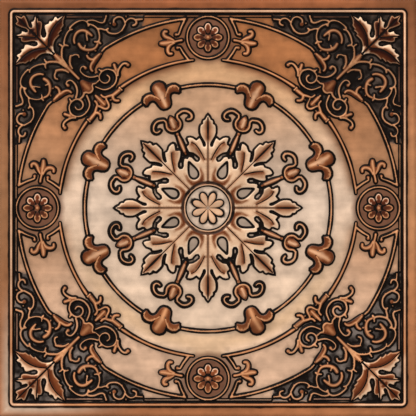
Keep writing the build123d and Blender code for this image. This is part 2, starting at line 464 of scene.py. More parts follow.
MEDALLION = [
    (0, 137.5), (3, 133), (4.5, 130), (7.5, 128.2), (8.3, 126), (8, 123.5), (11, 121.5), (12, 119),
    (12.4, 115), (12.2, 110), (11, 106), (9.5, 103), (7, 99), (4.6, 95), (4, 92), (4.8, 90), (6.2, 90.5),
    (7.5, 95), (9.5, 99.5), (11.3, 103), (13.5, 102.7), (15.5, 100.8), (17, 99.5), (19, 101), (22, 103),
    (26, 104), (30, 103.3), (31.3, 101.5), (30, 98.5), (28.5, 95.5), (28.7, 93), (31, 91.3), (32, 89),
    (31, 86.5), (28, 81), (22, 80), (17, 77), (13, 73.5), (12.5, 70.5), (14.5, 68), (17.5, 68.5), (20, 71),
    (23, 74.5), (27, 75.5), (29.5, 75), (30.3, 72.3), (33, 73.3), (35.5, 72), (36.5, 67), (36.5, 61),
    (38, 58), (41, 57.7), (43, 60.5), (43, 65), (41, 70), (39.5, 75), (39, 80), (39.5, 84), (42, 86),
    (45, 84.3), (47, 84.5), (47.5, 90), (49, 94), (51, 95), (54, 93.5), (57.5, 90), (59, 85), (60, 82.7),
    (62, 82), (63.5, 81), (63, 76), (61.7, 70), (61, 68), (62, 67), (63.8, 68.5), (65.5, 72), (66.5, 77),
    (66.7, 81.5), (67, 85), (70, 88.5), (73, 91.5), (75.5, 93.7), (77.5, 93.5), (80.5, 92), (82.5, 95),
    (85, 96.3), (88, 95), (91, 96), (95, 97), (97.8, 97.8),
]
TEARDROP = [(0, 73.3), (3, 68), (5.8, 61.5), (7.3, 55.5), (6.5, 50.5), (3.8, 47.4), (0, 46.3)]


def medallion():
    """The leaf mass round the centre, cut by midribs, side veins and the teardrop holes."""
    upper = [(24, 95.8), (19, 93.2), (14, 87.5), (9.5, 80), (5.2, 71)]
    lower = [(53, 80), (53, 74), (52.4, 67), (50.5, 59), (49, 53)]
    axis, diagonal = [(0, 102), (0, 118), (0, 132)], [(68, 68), (80, 80), (94, 94)]
    veins = [
        ([(0, 39), (0, 90), (0, 102)], [0.6, 0.7, 1], 0.5, 0.6),
        (axis, [1, 1.8, 0.7], 0.6, 1),
        ([(28, 28), (60, 60), (68, 68)], [0.6, 0.8, 1], 0.5, 0.6),
        (diagonal, [1, 1.9, 0.6], 0.6, 1),
        (upper, [0.4, 1, 0.4], 0.5, 1),
        (lower, [0.4, 1, 0.4], 0.5, 1),
    ]
    beside_disc = [(0, 37), (5, 37), (10.5, 40), (13, 48), (12.5, 59), (10.2, 56), (9.6, 50), (6.8, 45.5),
                   (3, 43.2), (0, 42.8)]
    shade, deep = (5, 0.75, 0.15), (4.6, 1, 0.35)
    zones = [
        ([(22.9, 97), (32, 92), (23, 80), (13, 74), (5, 64), (9.8, 80.1), (15.4, 88.1)], *deep, upper),
        ([(41.5, 87), (48.1, 87), (54.5, 81), (53.4, 68.9), (49, 46), (43.5, 64)], *deep, lower),
        ([(-8, 100), (-11, 112), (-7, 124), (0, 131), (7, 124), (11, 112), (8, 100), (0, 92)], *shade, axis),
        ([(66, 66), (67, 80), (75, 90), (86, 94), (95, 95), (94, 86), (90, 75), (80, 67)], *shade, diagonal),
        (both_sides(beside_disc), 6, 1.2, 0.12, None),
    ]
    rim = cut(MEDALLION, 2.4)
    rim = np.vstack([(rim * (-1, 1))[:0:-1], rim, rim[-2::-1, ::-1]])
    hole = curve(both_sides(TEARDROP), 2, closed=True)
    holes = [hole, hole * (-1, 1), hole[:, ::-1], arc((0, 0), 38.5, 0, 360, 2.6)[:-1]]
    leaf(rim, LEAF_RISE, veins, zones=zones, holes=holes, roof=0.25, halo=3.2, warm=0, wedge=True)
    ball(on_spoke([(0, 86)])[0], 2.4, 1.8)


def tulip():
    """A bud in a cup with two curled arms, on a stem along the spoke."""
    tube(on_spoke([(0, 90), (0, 97), (0, 103), (0, 109), (0, 113.5)]), [1.6, 2.3, 2.4, 1.8, 0.9], 2.6,
         foot=1.5, warm=0.8, halo=3.2)
    ball(on_spoke([(0, 116.8)])[0], 2.2, 2.2)
    bud = [(0, 125), (4.6, 127), (6.4, 132), (5.8, 138.5), (3, 143.5), (0, 145.8)]
    # The bud, with a painted highlight up its middle
    leaf(curve(both_sides(bud), 2.2, closed=True), 3.6, roof=0.5, stain=0.7, fade=7, warm=0.6,
         glows=[(on_spoke([(0.8, 127.5), (0.8, 135), (0.4, 140)]), 4, 1)])
    cup = [(0, 120.5), (6, 121.8), (9.8, 125), (12, 130), (12, 135), (10.4, 139.5), (11.8, 144.5),
           (8.6, 143.5), (6.6, 141), (6, 134), (0, 128)]
    leaf(cut(both_sides(cup), 2.4, closed=True), 2, roof=0.1, paint="brown", halo=2.8)
    half = [(0, 122), (5, 123.2), (8.7, 126), (10.5, 130), (10.3, 134), (8.9, 139), (10.6, 143)]
    arm = [(10.6, 143), (14, 144), (18.5, 145), (23.2, 144), (27.5, 140.5), (29.8, 135.5), (28.8, 131.5),
           (25.5, 130), (21.8, 131)]
    for side in (list, flip):
        tube(on_spoke(side(half)), 1.3, 2.6, halo=3)
        tube(on_spoke(side(arm)), [1.2, 1.6, 1.7, 1.5, 1], 2.6, halo=3.6)


CLIP = [
    (0, 156.5), (5, 157.5), (8.2, 160.4), (9.8, 164.8), (10.8, 170), (12.6, 173.5), (15, 175.2),
    (18.9, 175.1), (22.6, 172.8), (24.8, 171.3), (27.2, 172), (29.2, 177.7), (28.6, 181.8), (25.5, 185.8),
    (20.7, 187.7), (16.5, 187.6), (12.3, 186), (10.5, 188), (10.8, 191), (9, 195), (5, 198), (0, 199),
]


def clip():
    """The broad three-lobed clip that straddles the inner ring on each spoke."""
    crease = [(4, 172), (6.5, 176.5), (8.5, 180), (11.5, 186)]
    veins = [(on_spoke(side(crease)), [0.3, 0.8, 1], 0.5, 0.9) for side in (list, flip)]
    # Painted highlights down the middle lobe and the upper lobe
    glows = [(on_spoke([(0, 161), (0, 176)]), 6, 1), (on_spoke([(0, 176), (1.5, 184), (3, 192)]), 5.5, 0.85)]
    leaf(cut(both_sides(CLIP), 2.4, closed=True), 3.4, veins, roof=0.3, stain=1.3, fade=11, halo=3.4,
         warm=0.7, glows=glows)
    ridge = [(4.9, 173.6), (8.4, 178.3), (11.3, 181.7), (14.6, 184.1), (18.7, 184.7), (22.9, 183.8),
             (26.3, 180.8), (26.9, 176.8)]
    for side in (list, flip):
        tube(on_spoke(side(ridge)), 0.9, 3.5, foot=1.1)


def rosette():
    """The flower in its ringed disc on each side, with the curled collar round it."""
    tube(arc(ROSETTE, ROSETTE_RING, -90, 90, 3), 0.9, RING_RISE, raw=True, foot=1.1)
    turn = np.linspace(0, 2 * pi, 128, endpoint=False)
    reach = 14.2 + (6.7 + 0.6 * np.cos(4 * turn)) * np.abs(np.cos(4 * turn)) ** 0.85
    flower = np.column_stack([reach * np.sin(turn), ROSETTE[1] + reach * np.cos(turn)])
    creases = [([(r * sin(k * SPOKE), ROSETTE[1] + r * cos(k * SPOKE)) for r in (6, 15)], 0.8, 0.6, 1)
               for k in (1, 3, 5, 7)]
    hollow = (arc(ROSETTE, 6.6, 0, 330, 3), 3, 5, 0.5, None)
    leaf(flower, 2.2, creases, zones=[hollow], roof=0.1, flank=1.2, dish=0.6, halo=2.8)
    ball(ROSETTE, 4, 2.6)
    upper = [(33, 276.5), (34, 275), (37, 269), (40, 262), (42, 256), (43.5, 253.4), (46.3, 253.2)]
    lower = [(28.5, 216.2), (32, 221), (36, 226.5), (39, 231.5), (41, 234.6), (44, 234.2)]
    for arm, end in ((upper, (46.6, 253.3)), (lower, (44.6, 234))):
        tube(arm, [1.6, 1.3, 1.2, 1, 0.9], RING_RISE)
        ball(end, 2.2, 2.4)


def side_fleur():
    """The little three-lobed sprig beside each rosette."""
    stem = [(38.5, 245), (44, 244), (50, 242.5), (56, 242), (60, 241), (64, 240.3), (68.5, 240.2)]
    upper = [(50, 245), (56, 248), (60.5, 249.3), (63.8, 251.6), (64.9, 254.8), (63.2, 257.8),
             (60.4, 257.6)]
    lower = [(49, 240.8), (54, 238.8), (57.6, 235.4), (58.8, 231.5), (58.4, 228), (56.4, 225.4),
             (53, 225.4)]
    tube(stem, [1.4, 1.2, 1.5, 2.2, 3.4, 4.2, 2.8], 2.9)
    tube(upper, [0.9, 1.5, 2.4, 2.9, 2.8, 2.2, 1.6], 2.6)
    tube(lower, [0.9, 1.5, 2.3, 2.7, 2.6, 2.2, 1.6], 2.6)


SHELL_EDGE = [(160, 186), (163, 183), (165.7, 181.3), (168.3, 181), (168.8, 178), (167.9, 174.5),
              (168.7, 171), (170.2, 170.2)]
# Scrolls, curls and drops of the corner: centreline and bright half width, one or some along it
SCROLLS = [
    ([(147.5, 194), (145, 192.5), (143.7, 189.5), (144.5, 186), (147, 183.5), (150.5, 182.5),
      (154.5, 183.7), (157.5, 186.5), (159, 190.5), (158.3, 194.5), (156, 198), (152.5, 201), (148, 202.7),
      (143, 202.3), (138.5, 200.5), (135.5, 197), (133.8, 192.5), (133.9, 187.5), (135.8, 182.5),
      (139, 178.5), (143, 175.5), (148, 173.4), (153, 173), (158.5, 174.7), (164, 177)], 1.15),
    ([(155, 199.3), (157.3, 201), (159, 202)], 0.8),
    ([(131.3, 193.5), (131.5, 198), (130.5, 202), (128.5, 206), (125.5, 209.5), (122.3, 211.2),
      (119, 211.2)], 1.4),
    ([(137, 209), (134.3, 201)], [1.9, 1.2]),
    ([(161.6, 193), (167, 191.5), (173.4, 191.3), (180.7, 194.1), (186.3, 199.7), (185.7, 204.7),
      (181.8, 207.3), (179, 205)], 1.25),
    ([(189, 189), (200, 200), (211, 211)], [1.4, 1.8, 2.2]),
    ([(205, 205), (214, 214), (223, 223)], [2, 4.6, 3.2]),
    ([(198, 204), (200.5, 208), (202, 213), (201.7, 218), (200.8, 223)], [1.2, 1.3, 1.2, 1.1]),
    ([(200.6, 222), (198, 222.7), (195, 224), (191.5, 224), (189, 222.5), (188.3, 220)], 1.15),
    ([(206, 208), (210, 214), (213, 219), (213.7, 225), (213.5, 231),
      (212.5, 235.5)], [1.2, 1.3, 1.2, 1.1]),
    ([(212.5, 235), (210, 237.5), (207, 238), (204.5, 237)], 1.1),
    ([(213, 236), (215, 238), (217, 239)], 0.9),
    ([(198.3, 260.7), (202, 260), (205, 257), (207.5, 252.5), (209.3, 247.5), (210.5, 241)], 1.25),
    ([(175, 266), (175.7, 269.5), (178, 272.5), (182, 274), (187, 273.6), (192, 271.8), (196, 269),
      (199, 266.5), (202, 263.5)], 1.2),
    ([(195, 241), (195.8, 245), (195, 250), (192.5, 255), (188.5, 258.3), (184, 259.5), (180, 259),
      (177, 257.5), (173.5, 255), (170, 252)], [1, 1.4, 1.7, 1.9, 2, 1.2]),
    ([(177, 257), (177.5, 252), (176.7, 248), (176.5, 245.5)], [1.1, 1, 1.2]),
    ([(188.5, 239.5), (186, 235.3), (182, 232.3), (177, 231), (172, 231), (167, 232.3), (163.3, 235.3),
      (161.3, 239.5)], [2.2, 2.4, 2, 1.6, 1.2, 1]),
    ([(180.5, 234), (179.3, 237.5)], 0.9),
    ([(172, 268.5), (168, 267), (164, 264.5), (161, 261), (159.3, 256), (158.5, 251), (159, 246),
      (160, 243.8)], 1.25),
    ([(160, 243.8), (157, 240.5)], 0.9),
    ([(160, 243.8), (163, 242.7), (165.5, 243)], 0.9),
    ([(175.5, 273.7), (171, 274.4), (166, 274), (162, 272.5), (158, 271), (154, 270.7),
      (151, 272.5)], 1.25),
    ([(151.5, 273), (149.8, 277), (148.5, 281)], 1.1),
    ([(159, 262), (155, 261.7), (151, 260.3), (148, 260.8), (146, 262.3)], 1.2),
    ([(147.5, 258.8), (146, 257), (143, 255.4), (138, 254.7), (133.5, 255), (130, 256.4), (127, 258.6),
      (125.3, 260.5), (123, 264.5), (121, 268.5)], 1.25),
    ([(121.3, 270.5), (122.7, 274.5), (125, 277.8), (128.5, 279.2), (132, 279), (135, 277.6), (137.5, 275),
      (138, 271.5)], 1.1),
    ([(121, 270.7), (118.7, 274), (115.5, 276.4), (112, 277.2), (108, 276.2), (105.2, 273.5),
      (104.6, 270.3), (106.3, 268), (109.5, 267)], 1.1),
    ([(106, 275), (102, 275.5), (96, 276)], [1.2, 1, 0.4]),
    ([(166.5, 215.8), (170.2, 210.5), (171.6, 205.5), (170.6, 202), (168.9, 200)], [1.8, 1.5, 1.3, 1.1]),
    ([(167.5, 216.7), (171.5, 217.3), (175, 219.3), (176.8, 222.5)], [1.6, 1.4, 1.2]),
    ([(158.5, 224.7), (163, 220.5), (167.5, 216)], [1.4, 2.6, 2.4]),
    ([(129.8, 171.8), (132.5, 169.8), (136, 167), (139.2, 164.9), (142, 164.2), (146, 163.2),
      (150.5, 161.7), (154.3, 163.2), (156, 165)], [2.7, 2.9, 2.4, 1.6, 1.2, 1.1, 1]),
    ([(138.8, 165), (139.2, 162.3), (138.3, 159.6), (136.1, 157.4), (133.4, 156.7),
      (130.8, 157)], [1.9, 1.6, 1.3]),
    ([(149, 160), (146.3, 154), (144.8, 150), (145.1, 147.4), (146.4, 146)], 1.2),
    ([(164, 164), (158, 158), (151.5, 151.5)], [1.2, 2.4, 1.6]),
    (SHELL_EDGE, 1.1),
]
# Drops at the scrolls' ends: centre and radius
DROPS = [((117, 209), 2.7), ((179, 204.4), 2.7), ((164.7, 229.5), 1.9), ((175, 226.8), 1.7),
         ((137, 268.5), 3), ((143, 270.3), 1.5), ((119.5, 280), 1.6), ((142.5, 157.5), 1.4),
         ((176.5, 245), 1.9)]


def corner_scrolls():
    """The open work of the corner ornament, from the pendant to the frame."""
    for line, light in SCROLLS:
        tube(line, light, SCROLL_TOP, foot=1.4)
    for centre, radius in DROPS:
        ball(centre, radius, SCROLL_TOP)


SHELL = [(187, 187), (183, 188.5), (178, 187), (172, 185), (165, 185), *SHELL_EDGE]
PENDANT = [(166, 166), (161, 166), (155, 164), (149, 160.5), (146.3, 154), (144.8, 150), (145.1, 147.4),
           (146.2, 146.2)]
STEM_LEAVES = [
    [(155.5, 222.5), (159.8, 215.8), (164.4, 209.3), (168.3, 200), (171, 204), (170, 211), (163, 222),
     (159, 226)],
    [(196, 202), (198, 206), (198.4, 212), (198, 218), (196.5, 222.5), (201, 221), (202, 213), (200, 207)],
    [(205, 209), (208, 215), (210, 221), (210.5, 228), (209.5, 235.5), (213, 234), (213.5, 225),
     (210, 214)],
]


def corner_bodies():
    """Brown flesh of the shell, the pendant arms and the stem leaves, lower than their rims."""
    # The shell's brown flesh, with painted highlights down its middle
    leaf(whole_across_diagonal(SHELL), 2.6, roof=0.1, paint="brown",
         glows=[([(184, 184), (174, 174)], 6, 0.65), ([(172, 180), (170, 175)], 3, 0.4)])
    leaf(whole_across_diagonal(PENDANT), 1.8, roof=0.1, paint="brown")
    for outline in STEM_LEAVES:
        leaf(cut(outline, 2.4, closed=True), 2.2, roof=0.1, paint="brown")


CORNER_LEAF = [
    (222, 222), (223, 226), (223.5, 228), (225, 232), (225.4, 237), (224.5, 242), (222.5, 246),
    (219, 249.7), (215.5, 252.7), (217.3, 255.5), (212, 260), (213.3, 262.7), (210, 266.5), (211, 270),
    (210.3, 275), (208.5, 280), (207.8, 284), (213, 281), (216.5, 279), (219.5, 277), (221.5, 280),
    (223.3, 280.5), (225.3, 278), (226.7, 274.8), (228.3, 273.5), (230.2, 275.3), (232.3, 273),
    (233.5, 269.8), (236, 269), (238.5, 268), (239.8, 266), (239, 262), (237.8, 258), (236.8, 254.5),
    (237.3, 251), (239.5, 249.3), (241.8, 250), (243.2, 253.5), (243.3, 258), (242.3, 262.5), (241.8, 266),
    (241.8, 270), (243.3, 273), (246, 274), (247.5, 273.5), (248.3, 276.5), (250, 281), (251.5, 283),
    (253.3, 280), (254.3, 275.5), (255.5, 273.3), (257.5, 273.5), (259, 271.5), (258.3, 269), (257.2, 266),
    (257.6, 264), (259.2, 264), (260.8, 265.3), (261.8, 267.5), (262.3, 269.5), (264, 274), (266, 278.5),
    (268.5, 283), (271, 281), (272.8, 279), (275.5, 280.5), (279, 281.5), (282, 282),
]
LEAF_VEINS = [
    [(222, 222), (240, 240), (262, 262), (279, 279)],
    [(234, 235), (233.3, 241), (232.5, 248), (230.5, 255), (227, 262), (222, 269), (216, 275),
     (209.5, 281.5)],
    [(249, 249.5), (249.3, 256), (249.8, 264), (250.3, 272), (251.2, 280)],
]


def corner_leaf():
    """The five-lobed acanthus leaf that fills each corner."""
    widths = ([1.3, 1.4, 0.8], [0.6, 1.3, 0.5], [0.6, 1, 0.5])
    veins = [(line, width, 0.35, 1) for line, width in zip(LEAF_VEINS, widths)]
    leaf(whole_across_diagonal(CORNER_LEAF), 4.2, veins, roof=0.5, paint="halves", flank=1.3, halo=2.8,
         warm=0.1)


def all_forms():
    """Every form of one octant."""
    for make in (frame_bead, ring_beads, centre_disc, medallion, tulip, clip, rosette, side_fleur,
                 corner_bodies, corner_scrolls, corner_leaf):
        make()


# Relief and patina at any points of the octant


def soft_patch(p, patch, soft, source):
    """How deep points lie in a patch with a soft edge, less beside the line that it opens from."""
    d = to_line(p, looped(patch))[0]
    share = smooth(np.where(inside(p, patch), d, -d), -0.4 * soft, 0.6 * soft)
    if source is None:
        return share
    return share * (1 - 0.7 * smooth(to_line(p, curve(source))[0], 0.5, 6.5))


def shaded_half(p):
    """Which half of each corner lobe is stained brown: the one away from the tile's corner."""
    gaps, sides = [], []
    for points in LEAF_VEINS:
        line = curve(points, 2.0)
        d, along = to_line(p, line)
        k = np.clip(along.astype(int), 0, len(line) - 2)
        step = line[k + 1] - line[k]
        rel = p - line[k]
        gaps.append(d)
        sides.append(step[:, 0] * rel[:, 1] - step[:, 1] * rel[:, 0])
    nearest = np.argmin(gaps, axis=0)
    side = np.choose(nearest, sides) > 0
    terminal = p.sum(1) > 502
    return np.where(nearest == 0, terminal, side).astype(float)


def copies(p):
    """The points as seen from the octant and from the two octants beside it."""
    x, y = p[:, 0], p[:, 1]
    yield np.ones(len(p), bool), p
    yield x < 24, np.column_stack([-x, y])
    yield y - x < 34, np.column_stack([y, x])


def relief(p):
    """Rise over the ground, black patina, brown stain, crest highlight (clean film with a painted
    highlight), warmth and painted shadow on the ground, in the octant.
    """
    marks = np.zeros((5, len(p)))
    rise, dirt = marks[:2]
    closest = np.full(len(p), SHADOW_REACH)
    halos = []
    for form in forms:
        low, high = form.box()
        for k, (use, q) in enumerate(copies(p)):
            near = np.flatnonzero(use & (q > low).all(1) & (q < high).all(1))
            if not len(near) or (k and len(form.veins)):
                continue
            r, gap, *shades = form.sample(q[near])
            over = (gap < 0) & (r > rise[near])
            marks[:, near[over]] = np.array([r, *shades, np.full(len(r), form.warm)])[:, over]
            halos.append((near, gap, form))
            closest[near] = np.minimum(closest[near], np.maximum(gap, 0))
    low_ground = in_corner_ground(p)
    for near, gap, form in halos:
        shade = np.clip(1 - gap / np.where(low_ground[near], 2.8, form.halo), 0, 1)
        seen = (gap >= 0) & (rise[near] < 0.6 * form.rise)
        dirt[near[seen]] = np.maximum(dirt[near[seen]], shade[seen])
    # The last value is painted shadow: the ground darker beside the forms
    return *marks, (1 - smooth(closest, 0, SHADOW_REACH)) * (rise < 0.05)


def place_dirt(p, rise, dirt):
    """Dirt with that of the frame's grooves, the corner ground and the disc's groove."""
    x, y = p[:, 0], p[:, 1]
    both = np.hypot(np.maximum(x - FRAME_ROUND, 0), np.maximum(y - FRAME_ROUND, 0)) + FRAME_ROUND
    q = np.where((x > FRAME_ROUND) & (y > FRAME_ROUND), both, np.maximum(x, y))
    outer = np.interp(q, FRAME_MARKS[5:], (0, 1, 0.5, 0))
    inner = np.interp(q, FRAME_MARKS[:4], (0, 1, 1, 0))
    dirt = np.maximum(dirt, np.maximum(0.5 * outer, 0.42 * inner) * (rise < 1.0))
    dirt = np.maximum(dirt, GROUND_DIRT * (in_corner_ground(p) & (rise < 0.05)))
    r = np.hypot(x, y)
    return np.where((r > DISC_GROOVE[0]) & (r < DISC_GROOVE[1]), np.minimum(dirt, 0.3), dirt)


# Film colours at the top, sides and bottom of the tile. Their change from top to bottom is painted light and
# shade: darker at the top, paler at the bottom.
FIELD_TONES = (linear(202, 156, 120), linear(222, 193, 168), linear(230, 197, 168))
COVE_SHADE_TONES = (linear(140, 88, 56), linear(150, 108, 78), linear(240, 200, 166))
COVE_HIGHLIGHT_TONES = (linear(214, 164, 120), linear(227, 194, 166), linear(219, 179, 141))
BAND_TONES = (linear(174, 110, 66), linear(188, 136, 98), linear(218, 176, 144))
FLANGE_TONES = (linear(155, 90, 54), linear(178, 122, 82), linear(174, 110, 70))
BODY = (linear(222, 180, 144), linear(152, 90, 52))
# Crest tones, cream and copper: clean film with a painted highlight
CREST_CLEAN_AND_LIT = (linear(240, 204, 170), linear(222, 156, 108))
STAIN = np.array((0.36, 0.24, 0.17))
DULL_TONES = (linear(104, 86, 74), linear(120, 102, 90), linear(168, 150, 138))
GREYED = linear(136, 90, 66)
GROOVE = linear(120, 84, 66)
WORN = linear(228, 202, 176)
# Highlight colour painted on the rosette's upper petals
PETAL_HIGHLIGHT = linear(250, 226, 204)
BLACK = linear(16, 7, 3)
WHITE = linear(226, 224, 218)


def blend(base, other, share):
    """Base turned into other by a share from 0 to 1."""
    return base + (other - base) * share


def top_to_bottom_light(tones, height):
    """Blend three tones from the top of the tile, where height is 1, to its bottom, where it is -1: painted
    light and shade.
    """
    top, middle, bottom = tones
    up, down = smooth(height, 0, 1), smooth(-height, -0.05, 0.75)
    return middle + (top - middle) * up + (bottom - middle) * down


def ground_film(p, low, ground_shadow):
    """Film colour of the ground: field with cove and bands, discs, flange and corners, with painted light
    and shade from top to bottom, a painted highlight and painted shade in the cove, and painted shadow
    beside the forms.
    """
    r, q = np.hypot(*p.T)[:, None], np.abs(p).max(1)[:, None]
    off_axis = np.abs(p).min(1)[:, None]
    height = p[:, 1:] / np.maximum(r, 60)
    # Painted light and shade: each tone darker at the top of the tile and paler at the bottom
    film = top_to_bottom_light(FIELD_TONES, height * smooth(r, 40, 170))
    # Painted highlight round the inner part of the cove
    film = blend(film, top_to_bottom_light(COVE_HIGHLIGHT_TONES, height), smooth(r, 176, 192))
    # Painted shade in the outer part of the cove, fading out near the axes
    arms = smooth(off_axis / np.maximum(r, 1), 0.06, 0.17)
    film = blend(film, top_to_bottom_light(COVE_SHADE_TONES, height), smooth(r, 198, 215) * arms)
    film = blend(film, top_to_bottom_light(BAND_TONES, height), smooth(r, 216, 222))
    film = film * np.where(r < DISC_RING, 1.06, np.where(r < 78, 0.66, 1.0))
    film = blend(film, GROOVE, smooth(r, 34.5, 36) * (1 - smooth(r, 39, 42)))
    side, up = p[:, :1] / HALF, p[:, 1:] / HALF
    corner = smooth(np.abs(side * up), 0.55, 0.95)
    uneven = (1 + 0.2 * side * (1 - corner)) * (1 - (0.2 + 0.14 * up) * corner)
    film = blend(film, top_to_bottom_light(FLANGE_TONES, height) * uneven, smooth(q, 281, 292))
    worn = smooth(-side, 0.3, 0.9) * smooth(-up, 0.3, 0.9) * smooth(q, 288, 292) * (1 - smooth(q, 294, 304))
    film = blend(film, WORN, 0.65 * worn)
    d = np.hypot(q - ROSETTE[1], off_axis)
    collar = smooth(d, 32.5, 34) * (1 - smooth(d, 38, 42)) * (q < 280)
    film = blend(film, GREYED, np.maximum(1 - smooth(d, 26, 28.5), 0.7 * collar))
    low = low[:, None] > 0.5
    film = np.where(low & (q < 282), top_to_bottom_light(DULL_TONES, height), film)
    # Painted shadow on the ground beside the forms, deeper on the low corner ground
    return film * (1 - np.where(low, 0.6, 0.42) * ground_shadow[:, None])


def raised_film(p, stain, crest_wipe_and_highlight, warm):
    """Film colour of the ornament: brown stain and bright crests, with painted light that leaves it less
    stained, warmer and lighter towards the bottom, lighter upper rosette petals, and darker towards the
    upper corners.
    """
    side, up = p[:, :1] / HALF, p[:, 1:] / HALF
    q, off_axis = np.abs(p).max(1)[:, None], np.abs(p).min(1)[:, None]
    # Painted light: the ornament less stained, warmer and lighter towards the bottom of the tile
    below = smooth(-up, 0.3, 0.75)
    in_leaf = smooth(off_axis, 205, 222)
    stain = stain[:, None] * (1 - 0.55 * below)
    warm = np.clip(warm[:, None] + 1.3 * stain + 0.7 * below * (1 - 0.8 * in_leaf), 0, 1)
    # The crest's clean film with a painted highlight, less where stained
    light = np.clip(crest_wipe_and_highlight, 0, 1)[:, None]
    film = blend(blend(*BODY, warm), blend(*CREST_CLEAN_AND_LIT, warm), light) * STAIN ** (0.65 * stain)
    # Painted light on the rosette: its upper petals lighter, with a cream highlight
    middle = np.where(np.abs(up * HALF) > 200, np.sign(up) * ROSETTE[1], 0)
    lit_upper_petals = (np.hypot(q - ROSETTE[1], off_axis) < 23) & (up * HALF - middle > 6)
    film = film * np.where(lit_upper_petals, 1.7, 1.0)
    film = blend(film, PETAL_HIGHLIGHT, np.where(lit_upper_petals, 0.5 * light, 0.0)) * (1 + 0.25 * in_leaf)
    # Darker towards the upper corners of the tile
    upper_corner_dark = smooth(up, 0.35, 0.75) * smooth(np.abs(side), 0.35, 0.6) * (q < 284) * smooth(warm, 0.2, 0.8)
    return film * (1 - 0.3 * upper_corner_dark)


# Mesh of the face: feature lines first, then a constrained triangulation


class Net:
    """Points kept a least distance apart, with the edges between them."""

    def __init__(self):
        self.points, self.cells, self.edges = [], {}, set()

    def near(self, x, y, gap):
        """The nearest kept point within the gap, or None."""
        i, j, span = int(x // 2), int(y // 2), int(gap // 2) + 1
        best, found = gap, None
        for cell in product(range(i - span, i + span + 1), range(j - span, j + span + 1)):
            for k in self.cells.get(cell, ()):
                d = hypot(self.points[k][0] - x, self.points[k][1] - y)
                if d < best:
                    best, found = d, k
        return found

    def add(self, x, y, gap):
        """Keep a point, or give back the one already there."""
        k = self.near(x, y, gap)
        if k is None:
            k = len(self.points)
            self.points.append((x, y))
            self.cells.setdefault((int(x // 2), int(y // 2)), []).append(k)
        return k

    def join(self, a, b):
        """Keep the edge between two points, if there are two."""
        if a is not None and b is not None and a != b:
            self.edges.add((min(a, b), max(a, b)))

    def line(self, points, gap, keep=None, loop=False):
        """Add a line, broken where its points aren't kept."""
        keep = np.ones(len(points), bool) if keep is None else keep
        first = last = None
        for (x, y), good in zip(points, keep):
            k = self.add(x, y, gap) if good else None
            self.join(last, k)
            first = k if first is None else first
            last = k
        if loop and keep[0] and keep[-1]:
            self.join(last, first)


def in_octant(p):
    """Which points lie in the octant."""
    return (p[:, 0] >= -0.3) & (p[:, 1] - p[:, 0] >= -0.4) & (p[:, 1] <= HALF)


def to_border(p):
    """Move points that lie next to the octant's borders onto them."""
    p = np.array(p, float)
    p[np.abs(p[:, 0]) < 0.45, 0] = 0
    close = np.abs(p[:, 1] - p[:, 0]) < 0.6
    p[close] = p[close].mean(1)[:, None]
    return p


def looped(rim):
    """A closed outline as a line that ends where it starts."""
    return np.vstack([rim, rim[:1]])


def sideways(d):
    """Unit vectors at a quarter turn to the left of the given directions."""
    d = d / np.maximum(np.hypot(*d.T), 1e-9)[:, None]
    return np.column_stack([-d[:, 1], d[:, 0]])


def outline_of(line, half):
    """Outline of a strip with round ends."""
    n = sideways(np.gradient(line, axis=0) if len(line) > 2 else np.repeat(line[1:] - line[:1], 2, axis=0))
    caps = []
    for end, side in ((-1, n[-1]), (0, -n[0])):
        ahead = np.array([side[1], -side[0]])
        caps.append([line[end] + half[end] * (side * cos(a) + ahead * sin(a))
                     for a in (pi / 4, pi / 2, 3 * pi / 4)])
    offset = n * half[:, None]
    return np.vstack([line + offset, caps[0], (line - offset)[::-1], caps[1]])


def octant_net():
    """Points and edges of one octant: the tile's edge, the lines of frame and forms, and the rest."""
    net = Net()
    net.line([(x, HALF) for x in np.arange(0, HALF + 1, BACK_STEP)], 0.1)
    for mark in FRAME_MARKS:
        net.line(square_line(mark), 0.3)
    lines = [(*entry, form) for form in forms for entry in form.mesh_lines()]
    for rank, line, loop, cover, form in sorted(lines, key=lambda entry: entry[0]):
        line = to_border(line)
        good = in_octant(line)
        if good.any():
            good[good] = relief(line[good])[0] <= cover + 0.25 * form.rise
            net.line(line, GAPS[rank], good & form.clear(line, rank), loop)
    fill(net)
    return net


def grid(pitch, height):
    """Staggered points over the octant."""
    rows = []
    for j in range(int(HALF / height) + 1):
        x = np.arange((j % 2) * pitch / 2, j * height + 0.1, pitch)
        rows.append(np.column_stack([x, np.full(len(x), j * height)]))
    return np.vstack(rows)


def fill(net):
    """Fill the ornament finely, its painted shadow on the ground and the cove less so, and the plain field
    coarsely.
    """
    fine = grid(2.2, 1.9)
    rise, *_, ground_shadow = relief(fine)
    for (x, y), raised, shadowed in zip(fine, rise > 0.4, ground_shadow > 0.02):
        if x > 1 and y - x > 1.4 and (raised or shadowed):
            net.add(x, y, 1.55 if raised else 3.0)
    for r in np.arange(COVE_IN + 2, COVE_OUT + 1, 5.0):
        for x, y in to_border(arc((0, 0), r, 90, 45, 8.0)):
            net.add(x, y, 3.5)
    for x, y in to_border(grid(7.5, 6.5)):
        net.add(x, y, 4.2)
    net.line([(0, y) for y in np.linspace(0, HALF, 51)], 1.0)
    net.line([(s, s) for s in np.linspace(0, HALF, 62)], 1.0)


def triangulate(net):
    """Triangles of the octant that follow the net's edges."""
    found = delaunay_2d_cdt([Vector(p) for p in net.points], list(net.edges), [], 0, 0.02)
    return np.array([(v.x, v.y) for v in found[0]]), np.array([f for f in found[2] if len(f) == 3])


